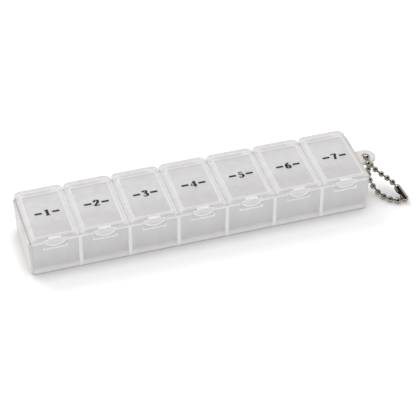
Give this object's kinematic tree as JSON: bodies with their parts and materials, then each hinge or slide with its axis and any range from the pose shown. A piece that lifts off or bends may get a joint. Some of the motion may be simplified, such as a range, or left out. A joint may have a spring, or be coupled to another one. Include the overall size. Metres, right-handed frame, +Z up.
{
  "type": "weekly pill organizer",
  "caption": "Long translucent tablet box: a row of cells with a snap lid on each, hinged at the back, and a short ball chain through an eye on one end.",
  "frame": {"origin": "centre of the tray's underside", "axes": "+X along the row of cells towards the end with the chain, +Y from the thumb lips to the hinges, +Z up"},
  "size_m": [0.1665, 0.0361, 0.0192],
  "materials": {
    "tray_plastic": "frosted translucent, fine satin",
    "lid_plastic": "frosted translucent, fine satin",
    "chain_metal": "bright nickel plate",
    "coupling_metal": "bright nickel plate"
  },
  "bodies": {
    "tray": {"tray": "tray_plastic"},
    "lid_1": {"lid_1": "lid_plastic"},
    "lid_2": {"lid_2": "lid_plastic"},
    "lid_3": {"lid_3": "lid_plastic"},
    "lid_4": {"lid_4": "lid_plastic"},
    "lid_5": {"lid_5": "lid_plastic"},
    "lid_6": {"lid_6": "lid_plastic"},
    "lid_7": {"lid_7": "lid_plastic"},
    "chain": {"chain_ball_01": "chain_metal", "chain_ball_02": "chain_metal", "chain_ball_03": "chain_metal", "chain_ball_04": "chain_metal", "chain_ball_05": "chain_metal", "chain_ball_06": "chain_metal", "chain_ball_07": "chain_metal", "chain_ball_08": "chain_metal", "chain_ball_09": "chain_metal", "chain_ball_10": "chain_metal", "chain_ball_11": "chain_metal", "chain_ball_12": "chain_metal", "chain_ball_13": "chain_metal", "chain_ball_14": "chain_metal", "chain_ball_15": "chain_metal", "chain_ball_16": "chain_metal", "chain_ball_17": "chain_metal", "chain_ball_18": "chain_metal", "chain_ball_19": "chain_metal", "chain_link_01": "chain_metal", "chain_link_02": "chain_metal", "chain_link_03": "chain_metal", "chain_link_04": "chain_metal", "chain_link_05": "chain_metal", "chain_link_06": "chain_metal", "chain_link_07": "chain_metal", "chain_link_08": "chain_metal", "chain_link_09": "chain_metal", "chain_link_10": "chain_metal", "chain_link_11": "chain_metal", "chain_link_12": "chain_metal", "chain_link_13": "chain_metal", "chain_link_14": "chain_metal", "chain_link_15": "chain_metal", "chain_link_16": "chain_metal", "chain_link_17": "chain_metal", "chain_link_18": "chain_metal", "chain_coupling": "coupling_metal"}
  },
  "joints": [
    {"name": "lid_1_hinge", "type": "hinge", "parent": "tray", "child": "lid_1", "pos_m": [-0.063, 0.0174, 0.0153], "axis": [-1, 0, 0], "range_deg": [0, 180]},
    {"name": "lid_2_hinge", "type": "hinge", "parent": "tray", "child": "lid_2", "pos_m": [-0.042, 0.0174, 0.0153], "axis": [-1, 0, 0], "range_deg": [0, 180]},
    {"name": "lid_3_hinge", "type": "hinge", "parent": "tray", "child": "lid_3", "pos_m": [-0.021, 0.0174, 0.0153], "axis": [-1, 0, 0], "range_deg": [0, 180]},
    {"name": "lid_4_hinge", "type": "hinge", "parent": "tray", "child": "lid_4", "pos_m": [0, 0.0174, 0.0153], "axis": [-1, 0, 0], "range_deg": [0, 180]},
    {"name": "lid_5_hinge", "type": "hinge", "parent": "tray", "child": "lid_5", "pos_m": [0.021, 0.0174, 0.0153], "axis": [-1, 0, 0], "range_deg": [0, 180]},
    {"name": "lid_6_hinge", "type": "hinge", "parent": "tray", "child": "lid_6", "pos_m": [0.042, 0.0174, 0.0153], "axis": [-1, 0, 0], "range_deg": [0, 180]},
    {"name": "lid_7_hinge", "type": "hinge", "parent": "tray", "child": "lid_7", "pos_m": [0.063, 0.0174, 0.0153], "axis": [-1, 0, 0], "range_deg": [0, 180]},
    {"name": "chain_swing", "type": "hinge", "parent": "tray", "child": "chain", "pos_m": [0.0779, 0, 0.0162], "axis": [0, 0, 1], "range_deg": [0, 100]}
  ]
}
